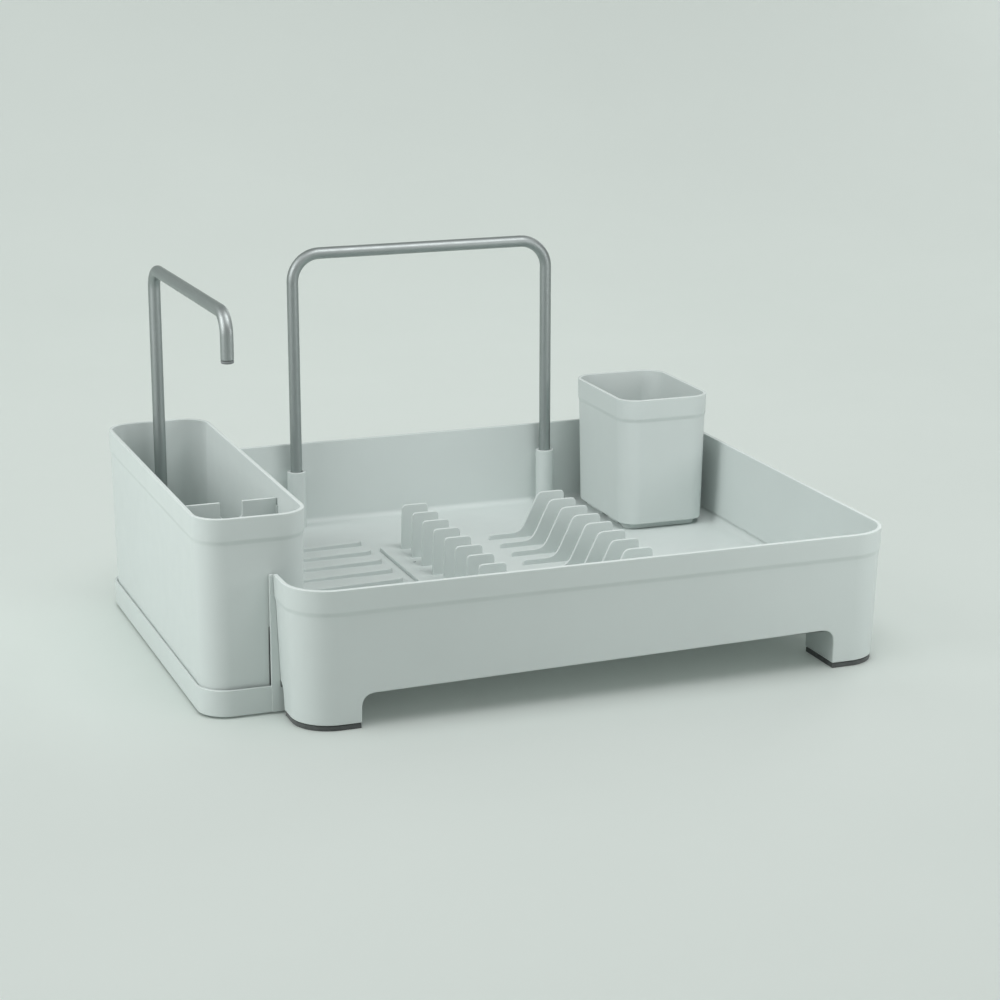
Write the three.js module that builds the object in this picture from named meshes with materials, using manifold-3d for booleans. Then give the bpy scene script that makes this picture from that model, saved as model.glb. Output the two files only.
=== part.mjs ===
// A countertop dish drying rack: a moulded tray on four legs with a lift-out plate rack, a cutlery cup and
// a bent-tube rail for large items. On its left side a utensil caddy with its own drip tray straddles the
// tray's lowered wall, and a swivelling tube hanger for a cloth stands in the caddy.
//
// Millimetres, +Z up. Every part is laid out from the tray's front left corner at counter level: +X runs
// along the front to the right and +Y runs to the back. The finished group is then moved so that the middle
// of its footprint is at the origin.
import * as THREE from "three";
import { mergeVertices } from "three/addons/utils/BufferGeometryUtils.js";
import Module from "manifold-3d";

const wasm = await Module();
wasm.setup();

// ---- Driving dimensions ----

const GAP = 0.3; // between parts that touch
const THROUGH = 1; // how far a cut runs past a face
const BAND = { height: 18, proud: 0.8 }; // the thicker band round every moulded rim

const TRAY = {
  width: 480,
  depth: 436,
  height: 107,
  radius: 34,
  wall: 2.6,
  floor: 35,
  draft: 4,
  skirtLeft: 26.3,
  skirtRight: 31.9,
  leg: 50,
  archRadius: 11,
};
const PAD = { height: 3.6, legBottom: 4.3, inset: 0.5, plug: 8 };
const RIB = { count: 10, pitch: 28.5, width: 12, left: 14, right: 156.5, low: 1.2, high: 4.5 };
const TUBE = { radius: 5, wall: 1, sides: 16, bendSteps: 8 };
const SOCKET = { radius: 8, bore: 5.4, top: 85, floor: 41 };
const RAIL = { left: 122, right: 355, y: 422, top: 276, bend: 24 };
const RACK = {
  left: 166,
  right: 346,
  depth: 224,
  plate: 2.7,
  radius: 10,
  fins: 8,
  pitch: 27,
  thickness: 2.4,
  top: 76.5,
};
const CUP = {
  left: 380,
  right: 465,
  front: 301,
  back: 420,
  top: 152,
  radius: 19,
  wall: 2.2,
  draft: 2.6,
  foot: 5.1,
  footInset: 9,
};
const CADDY = {
  left: -54.5,
  right: 30.5,
  front: 57,
  back: 379,
  bottom: 5.6,
  top: 151,
  radius: 23,
  wall: 2.4,
  draft: 2.2,
  innerFace: -3,
  step: 66,
};
const DIVIDER = { y: 140, thickness: 2.2, top: 141, notchWidth: 17, notchDepth: 13, notchX: -8.6 };
const DRIP = {
  left: -54.3,
  overlap: 1.4,
  bottom: 1.8,
  floor: 2,
  rim: 22,
  wall: 1.8,
  post: 2.4,
  flange: 1.4,
  flangeReach: 8.5,
};
const BUTTON = { radius: 6, height: 1.5 };
const HANGER = {
  x: -11.6,
  y: 362,
  top: 281.5,
  bend: 16,
  reach: 214,
  drop: 37,
  yaw: 1.5,
  foot: 63,
  plugLow: 12.4,
  socketTop: 60,
};

// Sizes that follow from them.
const TRAY_RECT = { x0: 0, x1: TRAY.width, y0: 0, y1: TRAY.depth };
const TRAY_MIDDLE = TRAY.depth / 2;
const FLOOR_UNDERSIDE = TRAY.floor - TRAY.wall;
const CADDY_RECT = { x0: CADDY.left, x1: CADDY.right, y0: CADDY.front, y1: CADDY.back };
const CADDY_FLOOR = CADDY.bottom + CADDY.wall;
const DRIP_RECT = {
  x0: DRIP.left,
  x1: CADDY.right,
  y0: CADDY.front - DRIP.overlap,
  y1: CADDY.back + DRIP.overlap,
};
const SLOT_Y = { front: CADDY.front - 0.8, back: CADDY.back + 0.8 };
const RACK_BOTTOM = TRAY.floor + GAP;
const RACK_PLATE_TOP = RACK_BOTTOM + RACK.plate;

// ---- Materials ----

const plastic = (colour) => new THREE.MeshStandardMaterial({ color: colour, roughness: 0.55, metalness: 0 });
const steel = () => new THREE.MeshStandardMaterial({ color: 0x9a9fa0, roughness: 0.35, metalness: 1 });
const rubber = () => new THREE.MeshStandardMaterial({ color: 0x6a6f70, roughness: 0.8, metalness: 0 });
const LIGHT_GREY = 0xc5cbc9;
const MID_GREY = 0x8d9293;

// ---- Solids ----

// A closed three.js geometry as a manifold solid.
function solid(geometry) {
  const bare = geometry.clone();
  bare.deleteAttribute("normal");
  bare.deleteAttribute("uv");
  const merged = mergeVertices(bare, 1e-4);
  const mesh = new wasm.Mesh({
    numProp: 3,
    vertProperties: merged.attributes.position.array,
    triVerts: new Uint32Array(merged.index.array),
  });
  return new wasm.Manifold(mesh);
}

// A manifold solid as a geometry with flat-shaded faces.
function geometryOf(shape) {
  const mesh = shape.getMesh();
  const indexed = new THREE.BufferGeometry();
  indexed.setAttribute("position", new THREE.BufferAttribute(new Float32Array(mesh.vertProperties), 3));
  indexed.setIndex(new THREE.BufferAttribute(new Uint32Array(mesh.triVerts), 1));
  const flat = indexed.toNonIndexed();
  flat.computeVertexNormals();
  return flat;
}

const union = (shapes) => shapes.reduce((sum, shape) => sum.add(shape));

function part(name, shape, material) {
  const mesh = new THREE.Mesh(geometryOf(shape), material);
  mesh.name = name;
  return mesh;
}

function roundedRect({ x0, x1, y0, y1 }, radius) {
  const shape = new THREE.Shape();
  shape.absarc(x1 - radius, y0 + radius, radius, -Math.PI / 2, 0);
  shape.absarc(x1 - radius, y1 - radius, radius, 0, Math.PI / 2);
  shape.absarc(x0 + radius, y1 - radius, radius, Math.PI / 2, Math.PI);
  shape.absarc(x0 + radius, y0 + radius, radius, Math.PI, 1.5 * Math.PI);
  return shape;
}

const inset = ({ x0, x1, y0, y1 }, by) => ({ x0: x0 + by, x1: x1 - by, y0: y0 + by, y1: y1 - by });

// A rounded block from z0 to z1. Its sides stand in from the rectangle by insetLow at the bottom and
// insetHigh at the top, which gives moulded walls their draft.
function frustum(rect, radius, z0, z1, insetLow, insetHigh, curveSegments = 4) {
  const top = inset(rect, insetHigh);
  const geometry = new THREE.ExtrudeGeometry(roundedRect(top, Math.max(radius - insetHigh, 1)), {
    depth: z1 - z0,
    bevelEnabled: false,
    curveSegments,
  });
  const middleX = (rect.x0 + rect.x1) / 2;
  const middleY = (rect.y0 + rect.y1) / 2;
  const halfX = (rect.x1 - rect.x0) / 2;
  const halfY = (rect.y1 - rect.y0) / 2;
  const shrinkX = (halfX - insetLow) / (halfX - insetHigh);
  const shrinkY = (halfY - insetLow) / (halfY - insetHigh);
  const position = geometry.attributes.position;
  for (let i = 0; i < position.count; i += 1) {
    if (position.getZ(i) < (z1 - z0) / 2) {
      position.setX(i, middleX + (position.getX(i) - middleX) * shrinkX);
      position.setY(i, middleY + (position.getY(i) - middleY) * shrinkY);
    }
  }
  geometry.translate(0, 0, z0);
  return solid(geometry);
}

function box(x0, x1, y0, y1, z0, z1) {
  const geometry = new THREE.BoxGeometry(x1 - x0, y1 - y0, z1 - z0);
  geometry.translate((x0 + x1) / 2, (y0 + y1) / 2, (z0 + z1) / 2);
  return solid(geometry);
}

function cylinder(x, y, z0, z1, radius, sides = 24) {
  const geometry = new THREE.CylinderGeometry(radius, radius, z1 - z0, sides);
  geometry.rotateX(Math.PI / 2);
  geometry.translate(x, y, (z0 + z1) / 2);
  return solid(geometry);
}

// An outline drawn in X and Z, given thickness along Y and centred on the plane y.
function slab(outline, y, thickness, curveSegments = 5) {
  const options = { depth: thickness, bevelEnabled: false, curveSegments };
  const geometry = new THREE.ExtrudeGeometry(outline, options);
  geometry.rotateX(Math.PI / 2);
  geometry.translate(0, y + thickness / 2, 0);
  return solid(geometry);
}

// A slot with round ends along X, cut straight down from z1 to z0.
function slot(x0, x1, y, width, z0, z1) {
  const rect = { x0, x1, y0: y - width / 2, y1: y + width / 2 };
  const outline = roundedRect(rect, width / 2 - 0.01);
  const options = { depth: z1 - z0, bevelEnabled: false, curveSegments: 3 };
  const geometry = new THREE.ExtrudeGeometry(outline, options);
  geometry.translate(0, 0, z0);
  return solid(geometry);
}

// The line of a bent tube: straight runs between the corners, joined by bends of one radius. Its points
// are spaced by parameter and not by length, so that a straight run is a single step.
class BentLine extends THREE.Curve {
  constructor(corners, radius) {
    super();
    this.points = [corners[0]];
    for (let i = 1; i < corners.length - 1; i += 1) {
      this.points.push(...BentLine.bend(corners[i - 1], corners[i], corners[i + 1], radius));
    }
    this.points.push(corners[corners.length - 1]);
  }

  // A right-angled bend about the corner b, from the run that starts at a to the run that ends at c.
  static bend(a, b, c, radius) {
    const into = b.clone().sub(a).normalize();
    const out = c.clone().sub(b).normalize();
    const centre = b.clone().addScaledVector(into, -radius).addScaledVector(out, radius);
    const points = [];
    for (let step = 0; step <= TUBE.bendSteps; step += 1) {
      const angle = ((step / TUBE.bendSteps) * Math.PI) / 2;
      const point = centre.clone();
      point.addScaledVector(into, radius * Math.sin(angle));
      point.addScaledVector(out, -radius * Math.cos(angle));
      points.push(point);
    }
    return points;
  }

  getPoint(t, target = new THREE.Vector3()) {
    const last = this.points.length - 1;
    const index = Math.min(Math.floor(t * last), last - 1);
    return target.lerpVectors(this.points[index], this.points[index + 1], t * last - index);
  }

  getUtoTmapping(u) {
    return u;
  }
}

function bentTube(corners, bendRadius) {
  const line = new BentLine(corners, bendRadius);
  const ring = new THREE.Shape();
  ring.absarc(0, 0, TUBE.radius, 0, 2 * Math.PI);
  const hole = new THREE.Path();
  hole.absarc(0, 0, TUBE.radius - TUBE.wall, 0, 2 * Math.PI, true);
  ring.holes.push(hole);
  const geometry = new THREE.ExtrudeGeometry(ring, {
    extrudePath: line,
    steps: line.points.length - 1,
    curveSegments: TUBE.sides / 2,
  });
  return solid(geometry);
}

// A turned end plug for a tube that ends at height z. Its head shows below the tube and its stem is inside.
function endPlug(x, y, z, length = 2.6) {
  const stem = TUBE.radius - TUBE.wall - GAP;
  const head = TUBE.radius;
  const profile = [
    new THREE.Vector2(0, -length),
    new THREE.Vector2(head - 1.2, -length),
    new THREE.Vector2(head, 1.2 - length),
    new THREE.Vector2(head, -GAP),
    new THREE.Vector2(stem, -GAP),
    new THREE.Vector2(stem, 8),
    new THREE.Vector2(stem - 0.8, 9),
    new THREE.Vector2(0, 9),
  ];
  const geometry = new THREE.LatheGeometry(profile, TUBE.sides);
  geometry.rotateX(Math.PI / 2);
  geometry.translate(x, y, z);
  return solid(geometry);
}

// The outside of a drafted wall: how far it stands in from the rim's rectangle at height z.
const trayInset = (z) => (TRAY.draft * (TRAY.height - z)) / TRAY.height;
const caddyInset = (z) => (CADDY.draft * (CADDY.top - z)) / (CADDY.top - CADDY.bottom);
const cupInset = (z) => (CUP.draft * (CUP.top - z)) / (CUP.top - TRAY.floor);

// The outer shape of a moulding with the thicker band round its rim.
function bandedBlock(rect, radius, bottom, top, insetAt) {
  const bandBottom = top - BAND.height;
  const rim = frustum(rect, radius, bandBottom, top, insetAt(bandBottom), 0);
  const low = insetAt(bottom) + BAND.proud;
  const high = insetAt(bandBottom) + BAND.proud;
  return rim.add(frustum(rect, radius, bottom, bandBottom + 0.01, low, high));
}

// The space inside such a moulding, a wall's thickness in from its outside.
function cavity(rect, radius, floor, top, wall, insetAt) {
  const depth = wall + BAND.proud;
  return frustum(rect, radius, floor, top + THROUGH, insetAt(floor) + depth, insetAt(top + THROUGH) + depth);
}

// ---- The tray and its feet ----

// The opening under the front and back walls, drawn in X and Z. Its top edge rises to the right.
function archOutline() {
  const { width, leg, archRadius: r, skirtLeft, skirtRight } = TRAY;
  const outline = new THREE.Shape();
  outline.moveTo(leg, -THROUGH);
  outline.lineTo(width - leg, -THROUGH);
  outline.lineTo(width - leg, skirtRight - r);
  outline.quadraticCurveTo(width - leg, skirtRight, width - leg - r, skirtRight);
  outline.lineTo(leg + r, skirtLeft);
  outline.quadraticCurveTo(leg, skirtLeft, leg, skirtLeft - r);
  return outline;
}

// The opening under a side wall, from x0 to x1.
function sideArch(x0, x1, height) {
  const rect = { x0: -TRAY.archRadius * 2, x1: height, y0: TRAY.leg, y1: TRAY.depth - TRAY.leg };
  const geometry = new THREE.ExtrudeGeometry(roundedRect(rect, TRAY.archRadius), {
    depth: x1 - x0,
    bevelEnabled: false,
    curveSegments: 3,
  });
  geometry.rotateY(-Math.PI / 2);
  geometry.translate(x1, 0, 0);
  return solid(geometry);
}

// The corners of the tray, each with the square that its leg fills.
function legSquares() {
  const { width, depth, leg } = TRAY;
  return [
    { name: "front_left", x0: -THROUGH, x1: leg, y0: -THROUGH, y1: leg },
    { name: "front_right", x0: width - leg, x1: width + THROUGH, y0: -THROUGH, y1: leg },
    { name: "back_left", x0: -THROUGH, x1: leg, y0: depth - leg, y1: depth + THROUGH },
    { name: "back_right", x0: width - leg, x1: width + THROUGH, y0: depth - leg, y1: depth + THROUGH },
  ];
}

// The part of a leg's square that lies inside the tray's outline, all of it "by" millimetres in.
function legBlock(square, z0, z1, by) {
  const low = trayInset(z0) + BAND.proud + by;
  const high = trayInset(z1) + BAND.proud + by;
  const outline = frustum(TRAY_RECT, TRAY.radius, z0, z1, low, high);
  return outline.intersect(box(square.x0 + by, square.x1 - by, square.y0 + by, square.y1 - by, z0, z1));
}

// A hollow leg, open below, that takes the plug of its rubber pad.
function leg(square) {
  const outer = legBlock(square, PAD.legBottom, FLOOR_UNDERSIDE + 0.5, 0);
  return outer.subtract(legBlock(square, PAD.legBottom - THROUGH, FLOOR_UNDERSIDE - 2, TRAY.wall));
}

// A boss against the back wall that takes one end of the rail.
function railSocket(x) {
  const post = cylinder(x, RAIL.y, FLOOR_UNDERSIDE + 1, SOCKET.top, SOCKET.radius);
  const web = box(x - 5, x + 5, RAIL.y, TRAY.depth - 4, FLOOR_UNDERSIDE + 1, SOCKET.top - 4);
  return post.add(web);
}

// A wedge-topped rib on the tray's floor, so that cups stand clear of the water.
function floorRib(y) {
  const height = RIB.high + 1;
  const rect = { x0: RIB.left, x1: RIB.right, y0: y - RIB.width / 2, y1: y + RIB.width / 2 };
  const geometry = new THREE.ExtrudeGeometry(roundedRect(rect, RIB.width / 2 - 0.01), {
    depth: height,
    bevelEnabled: false,
    curveSegments: 3,
  });
  const position = geometry.attributes.position;
  for (let i = 0; i < position.count; i += 1) {
    const along = (position.getX(i) - RIB.left) / (RIB.right - RIB.left);
    if (position.getZ(i) > height / 2) position.setZ(i, 1 + RIB.low + (RIB.high - RIB.low) * along);
  }
  geometry.translate(0, 0, TRAY.floor - 1);
  return solid(geometry);
}

function tray() {
  const { width, depth, height, radius, wall, floor, skirtLeft, skirtRight } = TRAY;
  const outer = bandedBlock(TRAY_RECT, radius, PAD.legBottom, height, trayInset);
  const inside = cavity(TRAY_RECT, radius, floor, height, wall, trayInset);
  const below = cavity(TRAY_RECT, radius, 0, FLOOR_UNDERSIDE - THROUGH, wall, trayInset);
  const caddySlot = box(-THROUGH, 12, SLOT_Y.front, SLOT_Y.back, CADDY.step - 2, height + THROUGH);
  let shell = outer.subtract(inside).subtract(below);
  shell = shell.subtract(slab(archOutline(), depth / 2, depth + 2 * THROUGH));
  shell = shell.subtract(sideArch(-THROUGH, 12, skirtLeft));
  shell = shell.subtract(sideArch(width - 12, width + THROUGH, skirtRight));
  shell = shell.subtract(caddySlot);
  const ribs = [];
  for (let i = 0; i < RIB.count; i += 1) {
    ribs.push(floorRib(TRAY_MIDDLE + (i - (RIB.count - 1) / 2) * RIB.pitch));
  }
  const sockets = [railSocket(RAIL.left), railSocket(RAIL.right)];
  let body = union([shell, ...legSquares().map(leg), ...ribs, ...sockets]);
  for (const x of [RAIL.left, RAIL.right]) {
    body = body.subtract(cylinder(x, RAIL.y, SOCKET.floor, SOCKET.top + THROUGH, SOCKET.bore));
  }
  return part("tray", body, plastic(LIGHT_GREY));
}

// A rubber pad under one leg, with a plug that holds it in the hollow leg.
function footPad(square) {
  const tread = legBlock(square, 0, PAD.height, PAD.inset);
  const plug = legBlock(square, PAD.height - 0.5, PAD.height + PAD.plug, TRAY.wall + GAP + 0.4);
  return part(`foot_pad_${square.name}`, tread.add(plug), rubber());
}

// ---- The rail ----

function rail() {
  const foot = SOCKET.floor + 3;
  const corners = [
    new THREE.Vector3(RAIL.left, RAIL.y, foot),
    new THREE.Vector3(RAIL.left, RAIL.y, RAIL.top),
    new THREE.Vector3(RAIL.right, RAIL.y, RAIL.top),
    new THREE.Vector3(RAIL.right, RAIL.y, foot),
  ];
  return [
    part("rail", bentTube(corners, RAIL.bend), steel()),
    part("rail_end_plug_left", endPlug(RAIL.left, RAIL.y, foot), plastic(MID_GREY)),
    part("rail_end_plug_right", endPlug(RAIL.right, RAIL.y, foot), plastic(MID_GREY)),
  ];
}

// ---- The plate rack ----

function leftFinOutline() {
  const left = RACK.left + 15.5;
  const right = left + 25;
  const foot = RACK_PLATE_TOP - 1;
  const outline = new THREE.Shape();
  outline.moveTo(left, foot);
  outline.lineTo(right, foot);
  outline.lineTo(right - 1, RACK.top - 4);
  outline.quadraticCurveTo(right - 1, RACK.top, right - 5, RACK.top);
  outline.lineTo(left + 5, RACK.top);
  outline.quadraticCurveTo(left + 1, RACK.top, left + 1, RACK.top - 4);
  return outline;
}

// A low step on the left that sweeps up to a high flat top on the right, so that a plate's rim leans on it.
function rightFinOutline() {
  const left = RACK.left + 95;
  const right = left + 70;
  const foot = RACK_PLATE_TOP - 1;
  const step = RACK_PLATE_TOP + 4.5;
  const outline = new THREE.Shape();
  outline.moveTo(left, foot);
  outline.lineTo(right, foot);
  outline.lineTo(right - 1.5, RACK.top - 4);
  outline.quadraticCurveTo(right - 1.5, RACK.top, right - 5.5, RACK.top);
  outline.lineTo(left + 49, RACK.top);
  outline.quadraticCurveTo(left + 44.5, RACK.top, left + 42.5, RACK.top - 5);
  outline.lineTo(left + 35, step + 13.5);
  outline.bezierCurveTo(left + 31, step + 5, left + 29, step, left + 20, step);
  outline.lineTo(left + 3, step);
  outline.quadraticCurveTo(left, step, left, step - 3);
  return outline;
}

function plateRack() {
  const front = TRAY_MIDDLE - RACK.depth / 2;
  const rect = { x0: RACK.left, x1: RACK.right, y0: front, y1: front + RACK.depth };
  const shapes = [frustum(rect, RACK.radius, RACK_BOTTOM, RACK_PLATE_TOP, 0, 0)];
  for (let i = 0; i < RACK.fins; i += 1) {
    const y = TRAY_MIDDLE + (i - (RACK.fins - 1) / 2) * RACK.pitch;
    shapes.push(slab(leftFinOutline(), y, RACK.thickness));
    shapes.push(slab(rightFinOutline(), y, RACK.thickness));
  }
  const pinhole = cylinder(RACK.left + 14, TRAY_MIDDLE + 2 * RACK.pitch, 0, TRAY.height, 1.5, 12);
  return part("plate_rack", union(shapes).subtract(pinhole), plastic(LIGHT_GREY));
}

// ---- The cutlery cup ----

// The ring that the cup stands on, set in from its sides, with a gap through both sides for the water.
function cupFoot(rect, bottom) {
  const z0 = TRAY.floor + GAP;
  const by = CUP.footInset;
  const outer = frustum(rect, CUP.radius, z0, bottom + 0.5, by, by);
  const inner = frustum(rect, CUP.radius, z0 - THROUGH, bottom + THROUGH, by + CUP.wall, by + CUP.wall);
  const middleY = (CUP.front + CUP.back) / 2;
  const gap = box(rect.x0, rect.x1, middleY - 6, middleY + 6, z0 - THROUGH, bottom);
  return outer.subtract(inner).subtract(gap);
}

function cutleryCup() {
  const rect = { x0: CUP.left, x1: CUP.right, y0: CUP.front, y1: CUP.back };
  const bottom = TRAY.floor + GAP + CUP.foot;
  const floor = bottom + CUP.wall;
  const middleX = (CUP.left + CUP.right) / 2;
  const middleY = (CUP.front + CUP.back) / 2;
  const outer = bandedBlock(rect, CUP.radius, bottom, CUP.top, cupInset);
  let body = outer.subtract(cavity(rect, CUP.radius, floor, CUP.top, CUP.wall, cupInset));
  for (let i = -2; i <= 2; i += 1) {
    const y = middleY + 18 * i;
    body = body.subtract(slot(middleX - 24, middleX + 24, y, 3, bottom - THROUGH, floor + THROUGH));
  }
  return part("cutlery_cup", body.add(cupFoot(rect, bottom)), plastic(LIGHT_GREY));
}

// ---- The caddy, its divider and its drip tray ----

// Everything that may hold caddy: the full width above the step, and only the outer side below it.
function caddyRoom(inwards) {
  const { left, right, innerFace, step, front, back, top } = CADDY;
  const above = box(left - 5, right + 5, front - 5, back + 5, step + inwards, top + 5);
  return above.add(box(left - 5, innerFace - inwards, front - 5, back + 5, 0, top + 5));
}

function caddyCavity(extra) {
  const { radius, top, wall } = CADDY;
  return cavity(CADDY_RECT, radius, CADDY_FLOOR + extra, top, wall + extra, caddyInset).intersect(
    caddyRoom(wall + extra),
  );
}

// Two low ribs round the inside of the caddy, that hold the divider's edges between them.
function dividerGuides() {
  const lining = caddyCavity(-0.5).subtract(caddyCavity(1.5));
  const reach = DIVIDER.thickness / 2 + GAP;
  const { left, right, bottom } = CADDY;
  const guide = 1.6;
  const strip = (y0) => box(left, right, y0, y0 + guide, bottom, DIVIDER.top - 6);
  const strips = strip(DIVIDER.y - reach - guide).add(strip(DIVIDER.y + reach));
  return lining.intersect(strips);
}

function caddy() {
  const { radius, bottom, top, left, innerFace } = CADDY;
  const outer = bandedBlock(CADDY_RECT, radius, bottom, top, caddyInset).intersect(caddyRoom(0));
  const { x, y, plugLow, socketTop } = HANGER;
  let body = outer.subtract(caddyCavity(0)).add(dividerGuides());
  body = body.add(cylinder(x, y, bottom + 1, socketTop, 7.8));
  body = body.add(box(x - 4, x + 4, y, CADDY.back - 5, bottom + 1, socketTop - 4));
  body = body.subtract(cylinder(x, y, plugLow - 1.4, socketTop + THROUGH, SOCKET.bore));
  const middle = (left + innerFace) / 2;
  for (let slotY = CADDY.front + 30; slotY < y - 20; slotY += 22) {
    if (Math.abs(slotY - DIVIDER.y) > 6) {
      body = body.subtract(slot(middle - 14, middle + 14, slotY, 3, 0, CADDY_FLOOR + THROUGH));
    }
  }
  return part("caddy", body, plastic(LIGHT_GREY));
}

// A plate across the caddy's whole section, with a finger notch in its top edge.
function caddyDivider() {
  const { y, thickness, top, notchWidth, notchDepth, notchX } = DIVIDER;
  const { left, right } = CADDY;
  const plate = box(left, right, y - thickness / 2, y + thickness / 2, 0, top);
  const x0 = notchX - notchWidth / 2;
  const x1 = notchX + notchWidth / 2;
  const low = top - notchDepth;
  const corner = 4;
  const outline = new THREE.Shape();
  outline.moveTo(x0, top + THROUGH);
  outline.lineTo(x0, low + corner);
  outline.quadraticCurveTo(x0, low, x0 + corner, low);
  outline.lineTo(x1 - corner, low);
  outline.quadraticCurveTo(x1, low, x1, low + corner);
  outline.lineTo(x1, top + THROUGH);
  const notch = slab(outline, y, thickness + 2 * THROUGH);
  return part("caddy_divider", plate.intersect(caddyCavity(0.4)).subtract(notch), plastic(LIGHT_GREY));
}

// What stands outside the tray's left wall, at least "by" millimetres and the usual gap away from it.
function besideTray(shape, by) {
  const grown = inset(TRAY_RECT, -GAP - by);
  return shape.subtract(bandedBlock(grown, TRAY.radius, -THROUGH, TRAY.height, trayInset));
}

// The outline of the drip tray, all of it "by" millimetres in. Its right side follows the tray's left wall.
function dripBlock(z0, z1, by) {
  return besideTray(frustum(inset(DRIP_RECT, by), CADDY.radius, z0, z1, 0.6, 0), by);
}

// A shallow basin with an upstand along the tray's left wall. A flange on the upstand hangs over the wall
// where it is lowered, and a post at each end closes the gap beside the caddy up to the tray's rim.
function dripTray() {
  const { bottom, floor, rim, wall, post, flange, flangeReach } = DRIP;
  const { y0, y1 } = DRIP_RECT;
  const x0 = CADDY.innerFace + GAP;
  const flangeTop = CADDY.step - GAP;
  const postTop = TRAY.height - GAP;
  const wallStrip = besideTray(box(x0, 6, y0, y1, bottom, flangeTop), 0);
  const upstand = wallStrip.subtract(besideTray(box(x0 - 1, 6, y0 - 1, y1 + 1, 0, postTop), wall));
  const basin = dripBlock(bottom, rim, 0).subtract(dripBlock(bottom + floor, rim + THROUGH, wall));
  const shapes = [basin, upstand];
  shapes.push(besideTray(box(x0, 6, y0, y0 + post, bottom, postTop), 0));
  shapes.push(besideTray(box(x0, 6, y1 - post, y1, bottom, postTop), 0));
  shapes.push(box(1, flangeReach, y0 + post, y1 - post, flangeTop - flange, flangeTop));
  for (const share of [0.25, 0.5, 0.75]) {
    const x = CADDY.left + (CADDY.innerFace - CADDY.left) * share;
    shapes.push(box(x - 1, x + 1, y0 + 20, y1 - 20, bottom + floor - 0.5, CADDY.bottom - GAP));
  }
  return part("caddy_drip_tray", union(shapes), plastic(LIGHT_GREY));
}

// The small rubber buttons under the drip tray.
function dripButtons() {
  const xs = { left: CADDY.left + 16, right: CADDY.innerFace - 10 };
  const ys = { front: CADDY.front + 26, back: CADDY.back - 26 };
  const profile = [
    new THREE.Vector2(0, 0),
    new THREE.Vector2(BUTTON.radius - 0.6, 0),
    new THREE.Vector2(BUTTON.radius, 0.6),
    new THREE.Vector2(BUTTON.radius, BUTTON.height),
    new THREE.Vector2(0, BUTTON.height),
  ];
  return Object.entries(ys).flatMap(([end, y]) =>
    Object.entries(xs).map(([side, x]) => {
      const geometry = new THREE.LatheGeometry(profile, 20);
      geometry.rotateX(Math.PI / 2);
      geometry.translate(x, y, 0);
      return part(`drip_pad_${end}_${side}`, solid(geometry), rubber());
    }),
  );
}

// ---- The hanger ----

// A cane-shaped tube about its own upright at x = y = 0, with its arm towards the front. It turns on a long
// foot plug that stands in the caddy's socket.
function hanger() {
  const { top, bend, reach, drop, foot, plugLow } = HANGER;
  const corners = [
    new THREE.Vector3(0, 0, foot),
    new THREE.Vector3(0, 0, top),
    new THREE.Vector3(0, -reach, top),
    new THREE.Vector3(0, -reach, top - drop + 2.6),
  ];
  const turning = new THREE.Group();
  turning.add(part("hanger", bentTube(corners, bend), steel()));
  turning.add(part("hanger_tip_plug", endPlug(0, -reach, top - drop + 2.6), plastic(MID_GREY)));
  turning.add(part("hanger_foot_plug", endPlug(0, 0, foot, foot - plugLow), plastic(MID_GREY)));
  turning.position.set(HANGER.x, HANGER.y, 0);
  turning.rotation.z = THREE.MathUtils.degToRad(HANGER.yaw);
  return turning;
}

// ---- The whole rack ----

const rack = new THREE.Group();
rack.add(tray(), ...legSquares().map(footPad));
rack.add(...rail());
rack.add(plateRack(), cutleryCup());
rack.add(caddy(), caddyDivider(), dripTray(), ...dripButtons());
rack.add(hanger());
rack.position.set(-(CADDY.left + TRAY.width) / 2, -TRAY.depth / 2, 0);

const model = new THREE.Group();
model.add(rack);

export default model;
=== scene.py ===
"""The looks of the countertop dish drying rack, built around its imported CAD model.

Every piece is rebuilt as a smooth mesh with rounded edges and stands for one CAD node. Sizes inside a
piece are millimetres from the front left corner of the tray, at counter level; rack_point turns them into
the frame.
"""
import math

import bmesh
import bpy
from mathutils import Matrix, Vector


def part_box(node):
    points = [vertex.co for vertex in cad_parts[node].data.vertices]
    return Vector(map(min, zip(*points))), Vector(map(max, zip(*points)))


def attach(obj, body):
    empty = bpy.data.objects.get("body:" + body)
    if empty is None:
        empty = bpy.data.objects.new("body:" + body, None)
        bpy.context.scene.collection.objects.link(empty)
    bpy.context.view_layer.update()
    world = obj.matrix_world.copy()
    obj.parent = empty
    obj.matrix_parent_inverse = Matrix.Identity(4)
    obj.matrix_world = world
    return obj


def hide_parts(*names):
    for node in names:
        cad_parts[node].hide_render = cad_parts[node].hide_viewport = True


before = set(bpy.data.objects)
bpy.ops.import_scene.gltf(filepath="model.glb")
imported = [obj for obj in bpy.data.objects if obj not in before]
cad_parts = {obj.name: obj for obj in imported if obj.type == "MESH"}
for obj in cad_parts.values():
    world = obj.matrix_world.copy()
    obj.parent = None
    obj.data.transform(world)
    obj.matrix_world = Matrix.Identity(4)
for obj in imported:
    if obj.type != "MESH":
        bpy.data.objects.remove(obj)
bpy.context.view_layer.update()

MM = 0.001
CORNER_STEPS = 14  # segments in a quarter turn of a moulded corner
TRAY_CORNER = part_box("tray")[0]


def rack_point(x, y, z):
    """A point in millimetres from the tray's front left corner, as a point of the frame in metres."""
    return Vector((TRAY_CORNER.x + x * MM, TRAY_CORNER.y + y * MM, z * MM))


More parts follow.
